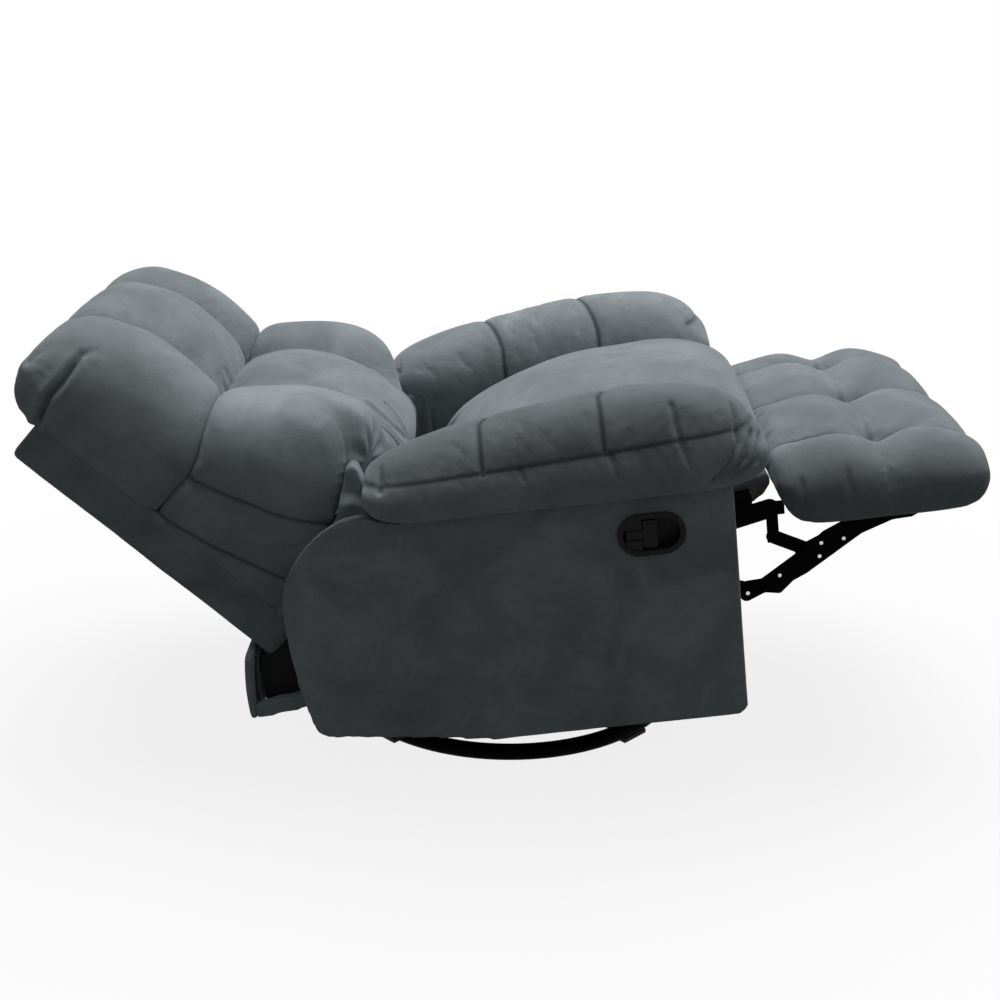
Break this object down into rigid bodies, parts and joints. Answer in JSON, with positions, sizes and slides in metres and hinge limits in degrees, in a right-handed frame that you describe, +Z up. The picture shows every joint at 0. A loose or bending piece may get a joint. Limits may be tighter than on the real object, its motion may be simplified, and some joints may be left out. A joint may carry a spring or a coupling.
{
  "type": "swivel rocker recliner",
  "caption": "Upholstered swivel rocker recliner with padded arms, reclining back, folding footrest on parallelogram links and a recessed pull handle, on a floor ring.",
  "frame": {"origin": "on the floor, under the middle of the box around the chair in the pictured pose", "axes": "+X forward towards the footrest, +Y towards the sitter's left, +Z up"},
  "size_m": [1.6478, 0.9272, 0.8068],
  "materials": {
    "cushion_fabric": "brushed nap",
    "panel_fabric": "brushed nap",
    "dust_cloth": "plain",
    "frame_timber": "sawn",
    "black_steel": "satin",
    "bright_steel": "plated",
    "black_plastic": "matt"
  },
  "bodies": {
    "base": {"floor_ring": "black_steel", "floor_glides": "black_plastic", "base_arms": "black_steel", "hub_plate": "black_steel", "lower_race": "black_steel", "bearing_balls": "bright_steel", "pivot_bolt": "bright_steel"},
    "swivel": {"upper_race": "black_steel", "swivel_plate": "black_steel", "rocker_base_tubes": "black_steel", "rocker_rails": "black_steel", "rocker_springs": "bright_steel"},
    "frame": {"rocker_cam_left": "frame_timber", "rocker_cam_right": "frame_timber", "spring_bridges": "black_steel", "rear_cross_tube": "black_steel", "front_cross_rail": "frame_timber", "side_panel_left": "panel_fabric", "side_panel_right": "panel_fabric", "arm_frame_left": "frame_timber", "arm_frame_right": "frame_timber", "arm_pad_left": "cushion_fabric", "arm_pad_right": "cushion_fabric", "inner_arm_left": "cushion_fabric", "inner_arm_right": "cushion_fabric", "rear_panel": "panel_fabric", "rear_side_rails": "panel_fabric", "dust_cover": "dust_cloth", "guide_plate_left": "black_steel", "guide_plate_right": "black_steel", "back_pivot_brackets": "black_steel", "handle_bezel": "black_plastic"},
    "handle": {"release_handle": "black_plastic"},
    "seat": {"seat_plate_left": "black_steel", "seat_plate_right": "black_steel", "seat_rollers": "black_plastic", "seat_side_rails": "frame_timber", "seat_cross_rails": "frame_timber", "seat_springs": "bright_steel", "seat_cushion": "cushion_fabric"},
    "front_links": {"front_link_left": "black_steel", "front_link_right": "black_steel", "drive_tube": "black_steel"},
    "rear_links": {"rear_link_left": "black_steel", "rear_link_right": "black_steel"},
    "long_links": {"long_link_left": "black_steel", "long_link_right": "black_steel"},
    "lower_links": {"lower_link_left": "black_steel", "lower_link_right": "black_steel"},
    "footrest": {"footrest_bracket_left": "black_steel", "footrest_bracket_right": "black_steel", "footrest_board": "frame_timber", "footrest_pad": "cushion_fabric"},
    "back": {"back_shell": "panel_fabric", "back_frame": "frame_timber", "back_springs": "bright_steel", "back_hinge_plates": "black_steel", "back_cushion_lower": "cushion_fabric", "back_cushion_upper": "cushion_fabric"}
  },
  "joints": [
    {"name": "swivel_turn", "type": "hinge", "parent": "base", "child": "swivel", "pos_m": [0.00879, 0, 0.047], "axis": [0, 0, 1], "continuous": true},
    {"name": "rock", "type": "hinge", "parent": "swivel", "child": "frame", "pos_m": [0.00879, 0, 0.36], "axis": [0, 1, 0], "range_deg": [-3, 14.7], "stiffness_Nm_per_rad": 800, "springref_deg": 2.01, "deforming": ["rocker_springs"]},
    {"name": "recline", "type": "hinge", "parent": "frame", "child": "back", "pos_m": [-0.26296, 0, 0.47911], "axis": [0, 1, 0], "range_deg": [0, 32]},
    {"name": "seat_slide", "type": "slide", "parent": "frame", "child": "seat", "axis": [-0.8788, 0, -0.4772], "range_m": [0, 0.04]},
    {"name": "footrest_fold", "type": "hinge", "parent": "seat", "child": "front_links", "pos_m": [0.34024, 0, 0.44179], "axis": [0, 1, 0], "range_deg": [0, 90]},
    {"name": "rear_link_turn", "type": "hinge", "parent": "seat", "child": "rear_links", "pos_m": [0.21924, 0, 0.37137], "axis": [0, 1, 0], "range_deg": [0, 90]},
    {"name": "long_link_turn", "type": "hinge", "parent": "front_links", "child": "long_links", "pos_m": [0.5479, 0, 0.39917], "axis": [0, 1, 0], "range_deg": [-90, 0]},
    {"name": "lower_link_turn", "type": "hinge", "parent": "front_links", "child": "lower_links", "pos_m": [0.51264, 0, 0.40641], "axis": [0, 1, 0], "range_deg": [-90, 0]},
    {"name": "footrest_turn", "type": "hinge", "parent": "long_links", "child": "footrest", "pos_m": [0.68792, 0, 0.48065], "axis": [0, 1, 0], "range_deg": [0, 90]},
    {"name": "handle_pull", "type": "hinge", "parent": "frame", "child": "handle", "pos_m": [0.20341, -0.417, 0.47751], "axis": [-0.1167, 0, 0.9932], "range_deg": [-32, 0], "stiffness_Nm_per_rad": 1, "springref_deg": 5.73}
  ],
  "couplings": [
    {"joint": "seat_slide", "follows": "recline", "m_per_rad": 0.07162},
    {"joint": "rear_link_turn", "follows": "footrest_fold", "ratio": 1},
    {"joint": "long_link_turn", "follows": "footrest_fold", "ratio": -1},
    {"joint": "lower_link_turn", "follows": "footrest_fold", "ratio": -1},
    {"joint": "footrest_turn", "follows": "footrest_fold", "ratio": 1}
  ]
}
